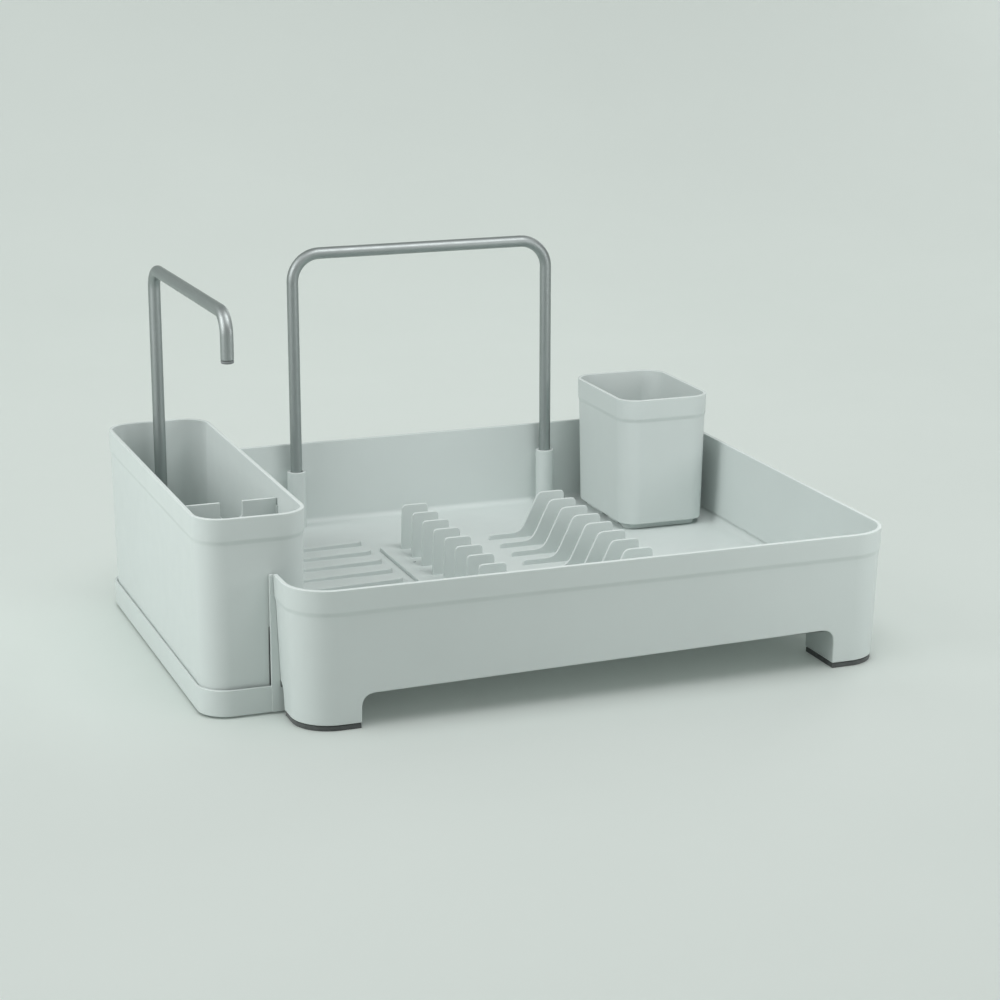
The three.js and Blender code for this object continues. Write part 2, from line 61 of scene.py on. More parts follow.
def node_box(node):
    """The box of a CAD node as x0, x1, y0, y1, z0, z1 in millimetres from the tray's front left corner."""
    low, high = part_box(node)
    x0, y0 = (low.x - TRAY_CORNER.x) / MM, (low.y - TRAY_CORNER.y) / MM
    x1, y1 = (high.x - TRAY_CORNER.x) / MM, (high.y - TRAY_CORNER.y) / MM
    return x0, x1, y0, y1, low.z / MM, high.z / MM


# ---- Sizes inside the pieces that the CAD boxes don't give, in millimetres ----

GAP = 0.3
SEAM = 0.08  # between the drip tray and what it stands against
BAND_HEIGHT, BAND_PROUD = 18, 0.8  # the thicker band round every moulded rim
BAND_STEP, BAND_STEP_BELOW, BAND_STEP_RINGS = 4.4, 2.6, 8  # the soft step at the foot of the band
DRAIN_WIDTH = 3  # of the slots in the floors of the cup and the caddy

TRAY_RADIUS, TRAY_WALL, TRAY_FLOOR, TRAY_DRAFT, TRAY_FILLET = 34, 2.6, 35, 4, 5
LEG, ARCH_RADIUS, SKIRT_LEFT, SKIRT_RIGHT = 50, 11, 26.3, 31.9
PAD_INSET, PAD_GROOVE, PAD_PLUG = 0.5, 0.7, 8  # the groove is the line between a leg and its pad
CADDY_PLAY = 0.8  # between the caddy and each end of the opening that it stands over
RIB_COUNT, RIB_PITCH, RIB_WIDTH = 10, 28.5, 12
RIB_LEFT, RIB_RIGHT, RIB_LOW, RIB_HIGH = 14, 156.5, 1.2, 4.5

RACK_PLATE, RACK_RADIUS, RACK_HOLE, RACK_HOLE_RADIUS = 2.7, 10, 14, 1.5
FIN_COUNT, FIN_PITCH, FIN = 8, 27, 2.4
LEFT_FIN, LEFT_FIN_WIDTH = 15.5, 25  # the start of a fin is taken from the left edge of the rack
RIGHT_FIN, RIGHT_FIN_WIDTH, RIGHT_FIN_STEP = 95, 70, 4.5

CUP_RADIUS, CUP_WALL, CUP_DRAFT = 19, 2.2, 2.6
CUP_FOOT, CUP_FOOT_INSET, CUP_FOOT_NOTCH = 5.1, 9, 12
CUP_DRAIN_REACH, CUP_DRAIN_PITCH = 24, 18

CADDY_RADIUS, CADDY_WALL, CADDY_DRAFT = 23, 2.4, 2.2
CADDY_INNER, CADDY_STEP = -3, 66  # its face beside the tray, and its underside over the tray's wall
CADDY_DRAIN_FIRST, CADDY_DRAIN_PITCH, CADDY_DRAIN_REACH = 30, 22, 14
DRAIN_TO_DIVIDER, DRAIN_TO_HANGER = 6, 20  # the least distance from a drain slot to each
DIVIDER_Y, DIVIDER_THICK, NOTCH_X, NOTCH_WIDTH, NOTCH_DEPTH = 140, 2.2, -8.6, 17, 13
GUIDE, GUIDE_SHORT = 1.6, 6  # a guide rib's width, and how far it ends below the divider's top

DRIP_WALL, DRIP_FLOOR, DRIP_RIM, DRIP_POST, DRIP_OVERLAP = 1.8, 2, 22, 2.4, 1.4
DRIP_RIB, DRIP_RIB_SHORT = 2, 20
FLANGE, FLANGE_REACH = 1.4, 8.5
TOE_LEFT, TOE_BELOW_SKIRT = 3, 6

TUBE_RADIUS, TUBE_SIDES = 5, 40
TUBE_END = ((0, 0.6), (0.2, 0.2), (0.6, 0))  # its rounding: distance in from the end, and from the surface
SOCKET_RADIUS, SOCKET_BORE, SOCKET_TOP = 8, 5.4, 85
PLUG_STEM, STEM_STEP = 9.3, 1.3  # the thinner part above a plug's head, and how far it steps in
RAIL_BEND = 24
HANGER_X, HANGER_Y, HANGER_YAW, HANGER_SOCKET, HANGER_SOCKET_RADIUS = -11.6, 362, 1.5, 60, 7.8
HANGER_REACH, HANGER_DROP, HANGER_BEND = 214, 37, 16
TIP_HEAD = 2.6  # the last stretch of the drop: the head of the plug and the gap above it

TRAY = node_box("tray")
TRAY_TOP = TRAY[5]
CADDY = node_box("caddy")
CUP = node_box("cutlery_cup")
RACK = node_box("plate_rack")
RAIL = node_box("rail")
HANGER = node_box("hanger")
DRIP = node_box("caddy_drip_tray")
DRIP_FRONT, DRIP_BACK = CADDY[2] - DRIP_OVERLAP, CADDY[3] + DRIP_OVERLAP


# ---- Meshes ----

def mesh_object(name, bm):
    """An object from a bmesh in millimetres of the rack."""
    for vert in bm.verts:
        vert.co = rack_point(*vert.co)
    bmesh.ops.recalc_face_normals(bm, faces=bm.faces)
    mesh = bpy.data.meshes.new(name)
    bm.to_mesh(mesh)
    bm.free()
    obj = bpy.data.objects.new(name, mesh)
    bpy.context.scene.collection.objects.link(obj)
    return obj


def inset(rect, by):
    """A rectangle drawn in on every side, or grown if by is negative."""
    x0, x1, y0, y1 = rect
    return x0 + by, x1 - by, y0 + by, y1 - by


def rounded_ring(rect, radius, steps):
    """The outline of a rectangle with rounded corners, as points in X and Y."""
    x0, x1, y0, y1 = rect
    left, right = x0 + radius, x1 - radius
    front, back = y0 + radius, y1 - radius
    points = []
    for quarter, (x, y) in enumerate(((right, front), (right, back), (left, back), (left, front))):
        for i in range(steps + 1):
            angle = math.pi / 2 * (quarter - 1 + i / steps)
            points.append((x + radius * math.cos(angle), y + radius * math.sin(angle)))
    return points


def skin(bm, rings):
    """Joins closed rings of points, given from one end of a solid to the other, and closes both ends."""
    loops = [[bm.verts.new(point) for point in points] for points in rings]
    count = len(loops[0])
    for below, above in zip(loops, loops[1:]):
        for i in range(count):
            j = (i + 1) % count
            bm.faces.new((below[i], below[j], above[j], above[i]))
    bm.faces.new(list(reversed(loops[0])))
    bm.faces.new(loops[-1])


def loft(rect, radius, levels, steps=CORNER_STEPS):
    """A rounded block through levels of (height, distance in from the rectangle)."""
    bm = bmesh.new()
    rings = []
    for z, by in levels:
        outline = rounded_ring(inset(rect, by), max(radius - by, 0.8), steps)
        rings.append([(x, y, z) for x, y in outline])
    skin(bm, rings)
    return mesh_object("loft", bm)


def box(x0, x1, y0, y1, z0, z1):
    """A plain block."""
    bm = bmesh.new()
    skin(bm, [[(x0, y0, z), (x1, y0, z), (x1, y1, z), (x0, y1, z)] for z in (z0, z1)])
    return mesh_object("box", bm)


def turned(x, y, profile, sides=48):
    """A body turned about an upright axis, from a profile of (radius, height)."""
    bm = bmesh.new()
    rings = []
    for radius, z in profile:
        ring = []
        for i in range(sides):
            angle = 2 * math.pi * i / sides
            ring.append((x + radius * math.cos(angle), y + radius * math.sin(angle), z))
        rings.append(ring)
    skin(bm, rings)
    return mesh_object("turned", bm)


def prism(outline, y0, y1):
    """An outline drawn in X and Z, given thickness along Y."""
    bm = bmesh.new()
    skin(bm, [[(x, y, z) for x, z in outline] for y in (y0, y1)])
    return mesh_object("prism", bm)


def arc(start, corner, end, steps=7):
    """A curve from start to end that is pulled towards the corner between them."""
    points = []
    for i in range(steps + 1):
        t = i / steps
        a, b, c = (1 - t) ** 2, 2 * t * (1 - t), t * t
        points.append((a * start[0] + b * corner[0] + c * end[0], a * start[1] + b * corner[1] + c * end[1]))
    return points


def sweep(start, pull_a, pull_b, end, steps=12):
    """A cubic curve from start to end."""
    points = []
    for i in range(steps + 1):
        t = i / steps
        w = ((1 - t) ** 3, 3 * t * (1 - t) ** 2, 3 * t * t * (1 - t), t ** 3)
        x = sum(k * p[0] for k, p in zip(w, (start, pull_a, pull_b, end)))
        y = sum(k * p[1] for k, p in zip(w, (start, pull_a, pull_b, end)))
        points.append((x, y))
    return points


def baked(obj):
    """Replaces an object's mesh by what its modifiers make of it."""
    depsgraph = bpy.context.evaluated_depsgraph_get()
    mesh = bpy.data.meshes.new_from_object(obj.evaluated_get(depsgraph))
    obj.modifiers.clear()
    obj.data = mesh
    return obj


def combined(operation, body, tools):
    for tool in tools:
        modifier = body.modifiers.new("boolean", "BOOLEAN")
        modifier.operation = operation
        modifier.solver = "MANIFOLD"
        modifier.object = tool
        baked(body)
        bpy.data.objects.remove(tool)
    return body


def cut(body, *tools):
    return combined("DIFFERENCE", body, tools)


def joined(body, *tools):
    return combined("UNION", body, tools)


def common(body, *tools):
    return combined("INTERSECT", body, tools)


def softened(body, width, segments=3):
    """Rounds every sharp edge by that many millimetres."""
    bm = bmesh.new()
    bm.from_mesh(body.data)
    bmesh.ops.remove_doubles(bm, verts=bm.verts, dist=0.004 * MM)
    bmesh.ops.dissolve_limit(bm, angle_limit=math.radians(0.4), verts=bm.verts, edges=bm.edges)
    bm.to_mesh(body.data)
    bm.free()
    bevel = body.modifiers.new("round", "BEVEL")
    bevel.width = width * MM
    bevel.segments = segments
    bevel.limit_method = "ANGLE"
    bevel.angle_limit = math.radians(40)
    bevel.use_clamp_overlap = False
    return baked(body)


def merged(body, *others):
    """Puts other meshes into the same object without cutting them against each other."""
    bm = bmesh.new()
    for obj in (body, *others):
        bm.from_mesh(obj.data)
    bm.to_mesh(body.data)
    bm.free()
    for obj in others:
        bpy.data.objects.remove(obj)
    return body


def smooth(body):
    """Smooth shading that leaves flat faces flat."""
    for polygon in body.data.polygons:
        polygon.use_smooth = True
    body.data.set_sharp_from_angle(angle=math.radians(50))
    normals = body.modifiers.new("normals", "WEIGHTED_NORMAL")
    normals.keep_sharp = True
    return baked(body)


# ---- Mouldings ----

def drafted(draft, top, bottom):
    """How far a drafted wall stands in from its rim at height z."""
    return lambda z: draft * (top - z) / (top - bottom)


TRAY_INSET = drafted(TRAY_DRAFT, TRAY_TOP, 0)
CADDY_INSET = drafted(CADDY_DRAFT, CADDY[5], CADDY[4])
CUP_INSET = drafted(CUP_DRAFT, CUP[5], TRAY_FLOOR)


def banded_block(rect, radius, bottom, top, inset_at):
    """The outside of a moulding. A soft step carries the thicker band round its rim."""
    band = top - BAND_HEIGHT
    levels = [(bottom, inset_at(bottom) + BAND_PROUD)]
    for i in range(BAND_STEP_RINGS + 1):
        t = i / BAND_STEP_RINGS
        z = band - BAND_STEP_BELOW + BAND_STEP * t
        levels.append((z, inset_at(z) + BAND_PROUD * (1 - t * t * (3 - 2 * t))))
    levels.append((top, 0))
    return loft(rect, radius, levels)


def cavity(rect, radius, floor, top, wall, inset_at, fillet):
    """The space inside a moulding, with a fillet round its floor."""
    depth = wall + BAND_PROUD
    levels = []
    for i in range(7):
        angle = math.pi / 2 * i / 6
        z = floor + fillet * (1 - math.cos(angle))
        levels.append((z, inset_at(z) + depth + fillet * (1 - math.sin(angle))))
    levels.append((top + 1, inset_at(top + 1) + depth))
    return loft(rect, radius, levels)


def drain_cutter(x0, x1, y, z0, z1):
    """The space of a drain slot with round ends."""
    half = DRAIN_WIDTH / 2
    return loft((x0, x1, y - half, y + half), half - 0.01, [(z0, 0), (z1, 0)], 6)


def arch_outline(x0, x1, left, right, radius):
    """An opening under a wall. Its top edge runs from the height left to the height right."""
    outline = [(x0, -1), (x1, -1)]
    outline += arc((x1, right - radius), (x1, right), (x1 - radius, right))
    outline += arc((x0 + radius, left), (x0, left), (x0, left - radius))
    return outline


def side_arch(x0, x1, height):
    """The opening under a side wall: a level arch, drawn as for the front and with X and Y swapped."""
    opening = prism(arch_outline(LEG, TRAY[3] - LEG, height, height, ARCH_RADIUS), x0, x1)
    corner = rack_point(0, 0, 0)
    swapped = Matrix(((0, 1, 0, 0), (1, 0, 0, 0), (0, 0, 1, 0), (0, 0, 0, 1)))
    opening.data.transform(Matrix.Translation(corner) @ swapped @ Matrix.Translation(-corner))
    opening.data.flip_normals()
    return opening


def leg_squares():
    """The square at each corner of the tray that its leg takes up, as x0, x1, y0, y1."""
    width, depth = TRAY[1], TRAY[3]
    return {
        "front_left": (-1, LEG, -1, LEG),
        "front_right": (width - LEG, width + 1, -1, LEG),
        "back_left": (-1, LEG, depth - LEG, depth + 1),
        "back_right": (width - LEG, width + 1, depth - LEG, depth + 1),
    }


def rail_socket(x, y):
    """A post on the tray's floor, held to the back wall, with a bore for one end of the rail."""
    profile = [(SOCKET_RADIUS, TRAY_FLOOR - 1), (SOCKET_RADIUS, SOCKET_TOP)]
    post = turned(x, y, profile)
    post = joined(post, box(x - 5, x + 5, y, TRAY[3] - 4, TRAY_FLOOR - 1, SOCKET_TOP - 4))
    bore = turned(x, y, [(SOCKET_BORE, TRAY_FLOOR + 6), (SOCKET_BORE, SOCKET_TOP + 1)])
    return softened(cut(post, bore), 0.5)


def floor_rib(y):
    """A low rib with round ends whose top rises to the right."""
    rect = (RIB_LEFT, RIB_RIGHT, y - RIB_WIDTH / 2, y + RIB_WIDTH / 2)
    rib = loft(rect, RIB_WIDTH / 2 - 0.01, [(TRAY_FLOOR - 1, 0), (TRAY_FLOOR + RIB_HIGH, 0)], 8)
    for vert in rib.data.vertices:
        if vert.co.z > (TRAY_FLOOR + 1) * MM:
            along = (vert.co.x - rack_point(RIB_LEFT, 0, 0).x) / ((RIB_RIGHT - RIB_LEFT) * MM)
            vert.co.z = (TRAY_FLOOR + RIB_LOW + (RIB_HIGH - RIB_LOW) * along) * MM
    return rib


def tray():
    """The main moulding: tub, legs, arches, floor ribs, rail sockets and the opening for the caddy."""
    x0, x1, y0, y1, bottom, top = TRAY
    rect = (x0, x1, y0, y1)
    body = banded_block(rect, TRAY_RADIUS, bottom, top, TRAY_INSET)
    skirt = TRAY_WALL + BAND_PROUD
    under_floor = TRAY_FLOOR - TRAY_WALL
    levels = [(z, TRAY_INSET(z) + skirt) for z in (bottom - 1, under_floor)]
    below = loft(rect, TRAY_RADIUS, levels)
    for square in leg_squares().values():
        below = cut(below, box(*square, 0, TRAY_FLOOR))
    body = cut(body, cavity(rect, TRAY_RADIUS, TRAY_FLOOR, top, TRAY_WALL, TRAY_INSET, TRAY_FILLET), below)
    body = cut(body, prism(arch_outline(LEG, x1 - LEG, SKIRT_LEFT, SKIRT_RIGHT, ARCH_RADIUS), -1, y1 + 1))
    body = cut(body, side_arch(-1, 12, SKIRT_LEFT), side_arch(x1 - 12, x1 + 1, SKIRT_RIGHT))
    slot_y0, slot_y1 = CADDY[2] - CADDY_PLAY, CADDY[3] + CADDY_PLAY
    body = cut(body, box(-1, 12, slot_y0, slot_y1, CADDY_STEP - 2, top + 1))
    middle = (y0 + y1) / 2
    for i in range(RIB_COUNT):
        body = joined(body, floor_rib(middle + (i - (RIB_COUNT - 1) / 2) * RIB_PITCH))
    body = softened(body, 0.8)
    rail_y = (RAIL[2] + RAIL[3]) / 2
    sockets = [rail_socket(x, rail_y) for x in (RAIL[0] + TUBE_RADIUS, RAIL[1] - TUBE_RADIUS)]
    return merged(body, *sockets)


def foot_pad(square):
    """The rubber tread under one leg."""
    sx0, sx1, sy0, sy1 = square
    x0, x1, y0, y1, bottom, _ = TRAY
    by = TRAY_INSET(0) + BAND_PROUD + PAD_INSET
    top = bottom - PAD_GROOVE
    tread = loft((x0, x1, y0, y1), TRAY_RADIUS, [(0, by + 0.4), (0.5, by), (top, by)])
    corner = (sx0 + PAD_INSET, sx1 - PAD_INSET, sy0 + PAD_INSET, sy1 - PAD_INSET)
    tread = common(tread, box(*corner, -1, top + 1))
    plug_by = by + PAD_PLUG
    plug = loft((x0, x1, y0, y1), TRAY_RADIUS, [(top - 0.5, plug_by), (top + 0.6, plug_by)])
    plug = common(plug, box(*inset(square, PAD_PLUG + 1), 0, top + 1))
    return joined(tread, plug)


# ---- Plate rack ----

def left_fin(plate_top, top):
    """A plain upright fin."""
    left = RACK[0] + LEFT_FIN
    right = left + LEFT_FIN_WIDTH
    outline = [(left, plate_top - 1), (right, plate_top - 1)]
    outline += arc((right - 1, top - 4), (right - 1, top), (right - 5, top))
    outline += arc((left + 5, top), (left + 1, top), (left + 1, top - 4))
    return outline


def right_fin(plate_top, top):
    """A low step on the left that sweeps up to a high flat top on the right."""
    left = RACK[0] + RIGHT_FIN
    right = left + RIGHT_FIN_WIDTH
    step = plate_top + RIGHT_FIN_STEP
    outline = [(left, plate_top - 1), (right, plate_top - 1)]
    outline += arc((right - 1.5, top - 4), (right - 1.5, top), (right - 5.5, top))
    outline += arc((left + 49, top), (left + 44.5, top), (left + 42.5, top - 5))
    outline += sweep((left + 35, step + 13.5), (left + 31, step + 5), (left + 29, step), (left + 20, step))
    outline += arc((left + 3, step), (left, step), (left, step - 3))
    return outline


def plate_rack():
    """A thin plate with two rows of fins and one small hole."""
    x0, x1, y0, y1, bottom, top = RACK
    plate_top = bottom + RACK_PLATE
    levels = [(bottom, 0), (plate_top - 0.7, 0), (plate_top - 0.2, 0.2), (plate_top, 0.7)]
    body = loft((x0, x1, y0, y1), RACK_RADIUS, levels)
    middle = (y0 + y1) / 2
    for i in range(FIN_COUNT):
        y = middle + (i - (FIN_COUNT - 1) / 2) * FIN_PITCH
        for outline in (left_fin(plate_top, top), right_fin(plate_top, top)):
            body = joined(body, softened(prism(outline, y - FIN / 2, y + FIN / 2), 0.7))
    profile = [(RACK_HOLE_RADIUS, bottom - 1), (RACK_HOLE_RADIUS, plate_top + 1)]
    hole = turned(x0 + RACK_HOLE, middle + 2 * FIN_PITCH, profile, 24)
    return cut(body, hole)


# ---- Cutlery cup ----

def cutlery_cup():
    """A drained cup on a recessed ring that has a notch at the left and the right."""
    x0, x1, y0, y1, low, top = CUP
    rect = (x0, x1, y0, y1)
    bottom = low + CUP_FOOT
    middle_x, middle_y = (x0 + x1) / 2, (y0 + y1) / 2
    body = banded_block(rect, CUP_RADIUS, bottom, top, CUP_INSET)
    body = cut(body, cavity(rect, CUP_RADIUS, bottom + CUP_WALL, top, CUP_WALL, CUP_INSET, 3))
    for i in range(-2, 3):
        y = middle_y + CUP_DRAIN_PITCH * i
        left, right = middle_x - CUP_DRAIN_REACH, middle_x + CUP_DRAIN_REACH
        body = cut(body, drain_cutter(left, right, y, bottom - 1, bottom + CUP_WALL + 1))
    body = softened(body, 0.7)
    by = CUP_FOOT_INSET
    foot = loft(rect, CUP_RADIUS, [(low, by), (bottom + 0.5, by)])
    foot = cut(foot, loft(rect, CUP_RADIUS, [(low - 1, by + CUP_WALL), (bottom + 1, by + CUP_WALL)]))
    notch = CUP_FOOT_NOTCH / 2
    foot = cut(foot, box(x0, x1, middle_y - notch, middle_y + notch, low - 1, bottom))
    return merged(body, softened(foot, 0.3, 2))


# ---- Caddy, divider and drip tray ----

def without_step(body, inwards):
    """Takes away the part of the caddy that would stand in the tray, below the step."""
    x0, x1, y0, y1, _, _ = CADDY
    return cut(body, box(CADDY_INNER - inwards, x1 + 5, y0 - 5, y1 + 5, -5, CADDY_STEP + inwards))


def caddy_cavity(extra, fillet):
    """The space inside the caddy, smaller all round by extra."""
    x0, x1, y0, y1, bottom, top = CADDY
    floor = bottom + CADDY_WALL + extra
    space = cavity((x0, x1, y0, y1), CADDY_RADIUS, floor, top, CADDY_WALL + extra, CADDY_INSET, fillet)
    return without_step(space, CADDY_WALL + extra)


def divider_guides():
    """Low ribs round the inside of the caddy that hold the divider between them."""
    lining = cut(caddy_cavity(-0.5, 3), caddy_cavity(1.5, 3))
    reach = DIVIDER_THICK / 2 + GAP
    x0, x1 = CADDY[0], CADDY[1]
    top = node_box("caddy_divider")[5] - GUIDE_SHORT
    strips = box(x0, x1, DIVIDER_Y - reach - GUIDE, DIVIDER_Y - reach, CADDY[4], top)
    strips = joined(strips, box(x0, x1, DIVIDER_Y + reach, DIVIDER_Y + reach + GUIDE, CADDY[4], top))
    return common(lining, strips)


def hanger_socket():
    """A post on the caddy's floor, held to its back wall, with a bore for the hanger's foot."""
    bottom = CADDY[4] + 1
    profile = [(HANGER_SOCKET_RADIUS, bottom), (HANGER_SOCKET_RADIUS, HANGER_SOCKET)]
    post = turned(HANGER_X, HANGER_Y, profile)
    post = joined(post, box(HANGER_X - 4, HANGER_X + 4, HANGER_Y, CADDY[3] - 5, bottom, HANGER_SOCKET - 4))
    bore = turned(HANGER_X, HANGER_Y, [(SOCKET_BORE, 11), (SOCKET_BORE, HANGER_SOCKET + 1)])
    return softened(cut(post, bore), 0.5)


def caddy():
    """The utensil caddy, with drain slots, guides for its divider and the hanger's socket."""
    x0, x1, y0, y1, bottom, top = CADDY
    body = without_step(banded_block((x0, x1, y0, y1), CADDY_RADIUS, bottom, top, CADDY_INSET), 0)
    body = cut(body, caddy_cavity(0, 4))
    middle = (x0 + CADDY_INNER) / 2
    left, right = middle - CADDY_DRAIN_REACH, middle + CADDY_DRAIN_REACH
    y = y0 + CADDY_DRAIN_FIRST
    while y < HANGER_Y - DRAIN_TO_HANGER:
        if abs(y - DIVIDER_Y) > DRAIN_TO_DIVIDER:
            body = cut(body, drain_cutter(left, right, y, 0, bottom + CADDY_WALL + 1))
        y += CADDY_DRAIN_PITCH
    return merged(softened(body, 0.8), divider_guides(), hanger_socket())


def caddy_divider():
    """An upright plate across the caddy, with a notch in its top edge."""
    top = node_box("caddy_divider")[5]
    x0, x1 = NOTCH_X - NOTCH_WIDTH / 2, NOTCH_X + NOTCH_WIDTH / 2
    low = top - NOTCH_DEPTH
    outline = [(x1, top + 1), (x0, top + 1)]
    outline += arc((x0, low + 4), (x0, low), (x0 + 4, low)) + arc((x1 - 4, low), (x1, low), (x1, low + 4))
    front, back = DIVIDER_Y - DIVIDER_THICK / 2, DIVIDER_Y + DIVIDER_THICK / 2
    plate = common(box(CADDY[0], CADDY[1], front, back, 0, top), caddy_cavity(0.4, 4))
    return softened(cut(plate, prism(outline, front - 1, back + 1)), 0.6)


def beside_tray(body, by):
    """Keeps what stands outside the tray's left wall, at least that far and a fine seam away from it."""
    grown = inset(TRAY[:4], -SEAM - by)
    return cut(body, banded_block(grown, TRAY_RADIUS, -1, TRAY_TOP, TRAY_INSET))


def drip_block(z0, z1, by):
    """The outline of the drip tray. Its right side follows the tray's left wall."""
    rect = (DRIP[0], CADDY[1], DRIP_FRONT, DRIP_BACK)
    return beside_tray(loft(inset(rect, by), CADDY_RADIUS, [(z0, 0.6), (z1, 0)]), by)


def drip_tray():
    """A shallow tray under the caddy, with a ribbed floor and an upstand beside the rack's own tray."""
    bottom = DRIP[4]
    x0, past_wall = CADDY_INNER + SEAM, 6
    flange_top = CADDY_STEP - GAP
    post_top = TRAY_TOP - GAP
    body = cut(drip_block(bottom, DRIP_RIM, 0), drip_block(bottom + DRIP_FLOOR, DRIP_RIM + 1, DRIP_WALL))
    front, back = DRIP_FRONT + DRIP_RIB_SHORT, DRIP_BACK - DRIP_RIB_SHORT
    for share in (0.25, 0.5, 0.75):
        x = CADDY[0] + (CADDY_INNER - CADDY[0]) * share
        left, right = x - DRIP_RIB / 2, x + DRIP_RIB / 2
        body = joined(body, box(left, right, front, back, bottom + DRIP_FLOOR - 0.5, CADDY[4] - GAP))
    upstand = beside_tray(box(x0, past_wall, DRIP_FRONT, DRIP_BACK, bottom, flange_top), 0)
    hollow = box(x0 - 1, past_wall, DRIP_FRONT - 1, DRIP_BACK + 1, 0, post_top)
    upstand = cut(upstand, beside_tray(hollow, DRIP_WALL))
    front, back = DRIP_FRONT + DRIP_POST, DRIP_BACK - DRIP_POST
    flange = box(1, FLANGE_REACH, front, back, flange_top - FLANGE, flange_top)
    body = joined(body, upstand, flange)
    for start in (DRIP_FRONT, DRIP_BACK - DRIP_POST):
        post = beside_tray(box(x0, past_wall, start, start + DRIP_POST, bottom, post_top), 0)
        toe = box(TOE_LEFT, FLANGE_REACH, start, start + DRIP_POST, bottom, SKIRT_LEFT - TOE_BELOW_SKIRT)
        body = joined(body, post, toe)
    return softened(body, 0.4, 2)


def drip_pad(node):
    """A round rubber button under the drip tray."""
    x0, x1, y0, y1, z0, z1 = node_box(node)
    radius = (x1 - x0) / 2
    profile = [(radius - 0.7, z0), (radius - 0.2, z0 + 0.15), (radius, z0 + 0.6), (radius, z1)]
    return turned((x0 + x1) / 2, (y0 + y1) / 2, profile)


# ---- Tubes ----

def bent_path(corners, radius, steps=14):
    """The centreline through the corners, with right-angled bends of one radius."""
    path = [corners[0]]
    for a, b, c in zip(corners, corners[1:], corners[2:]):
        into, out = (b - a).normalized(), (c - b).normalized()
        centre = b - into * radius + out * radius
        for i in range(steps + 1):
            angle = math.pi / 2 * i / steps
            path.append(centre + into * radius * math.sin(angle) - out * radius * math.cos(angle))
    path.append(corners[-1])
    return path


def tube_stations(path):
    """For each point of a path: the point, two directions across, one along, and the length so far."""
    directions = []
    for i in range(len(path)):
        before, after = path[max(i - 1, 0)], path[min(i + 1, len(path) - 1)]
        directions.append((after - before).normalized())
    side = directions[0].orthogonal().normalized()
    stations = []
    along = 0
    for i, (point, direction) in enumerate(zip(path, directions)):
        side = (side - direction * side.dot(direction)).normalized()
        if i:
            along += (point - path[i - 1]).length
        stations.append((point, side.copy(), direction.cross(side), direction, along))
    return stations


def tube_ring(station, shift, radius):
    """A circle round a station, moved along the tube by shift."""
    point, across, other, direction, _ = station
    ring = []
    for i in range(TUBE_SIDES):
        angle = 2 * math.pi * i / TUBE_SIDES
        offset = across * radius * math.cos(angle) + other * radius * math.sin(angle)
        ring.append(tuple(point + direction * shift + offset))
    return ring


def map_tube(bm, lengths):
    """Unrolls a tube's side into its girth and its length, in metres."""
    uv = bm.loops.layers.uv.new("UVMap")
    girth = 2 * math.pi * TUBE_RADIUS * MM
    for number, face in enumerate(bm.faces):
        ring, i = divmod(number, TUBE_SIDES)
        if ring < len(lengths) - 1:
            ends = (lengths[ring] * MM, lengths[ring + 1] * MM)
            corners = ((i, 0), (i + 1, 0), (i + 1, 1), (i, 1))
            for loop, (step, end) in zip(face.loops, corners):
                loop[uv].uv = (girth * step / TUBE_SIDES, ends[end])


def tube(corners, bend):
    """A bent tube with closed, slightly rounded ends, and a map of its length and girth."""
    stations = tube_stations(bent_path([Vector(corner) for corner in corners], bend))
    first, last = stations[0], stations[-1]
    rings = [(first, shift, TUBE_RADIUS - by) for shift, by in TUBE_END]
    rings += [(station, 0, TUBE_RADIUS) for station in stations[1:-1]]
    rings += [(last, -shift, TUBE_RADIUS - by) for shift, by in reversed(TUBE_END)]
    bm = bmesh.new()
    skin(bm, [tube_ring(*ring) for ring in rings])
    map_tube(bm, [station[-1] for station, _, _ in rings])
    return mesh_object("tube", bm)


def turned_about_hanger(points):
    """Points drawn about the hanger's upright, turned by its resting yaw."""
    turn = Matrix.Rotation(math.radians(HANGER_YAW), 3, "Z")
    return [tuple(Vector((HANGER_X, HANGER_Y, 0)) + turn @ Vector(point)) for point in points]


def end_plug(node):
    """The flush plug that shows at a tube's end. Its narrower stem stands inside the tube."""
    x0, x1, y0, y1, z0, z1 = node_box(node)
    head = TUBE_RADIUS
    shoulder = z1 - PLUG_STEM
    profile = [(head - 1.2, z0), (head - 0.5, z0 + 0.2), (head - 0.1, z0 + 0.7), (head, z0 + 1.4)]
    profile += [(head, shoulder), (head - STEM_STEP, shoulder), (head - STEM_STEP, z1)]
    return turned((x0 + x1) / 2, (y0 + y1) / 2, profile, TUBE_SIDES)


def rail():
    """The square hoop at the back."""
    y = (RAIL[2] + RAIL[3]) / 2
    left, right = RAIL[0] + TUBE_RADIUS, RAIL[1] - TUBE_RADIUS
    top = RAIL[5] - TUBE_RADIUS
    return tube([(left, y, RAIL[4]), (left, y, top), (right, y, top), (right, y, RAIL[4])], RAIL_BEND)


def hanger():
    """The cane-shaped tube: up, forward over the caddy, and down to its plug."""
    top = HANGER[5] - TUBE_RADIUS
    end = top - HANGER_DROP + TIP_HEAD
    corners = [(0, 0, HANGER[4]), (0, 0, top), (0, -HANGER_REACH, top), (0, -HANGER_REACH, end)]
    return tube(turned_about_hanger(corners), HANGER_BEND)


# ---- Materials ----

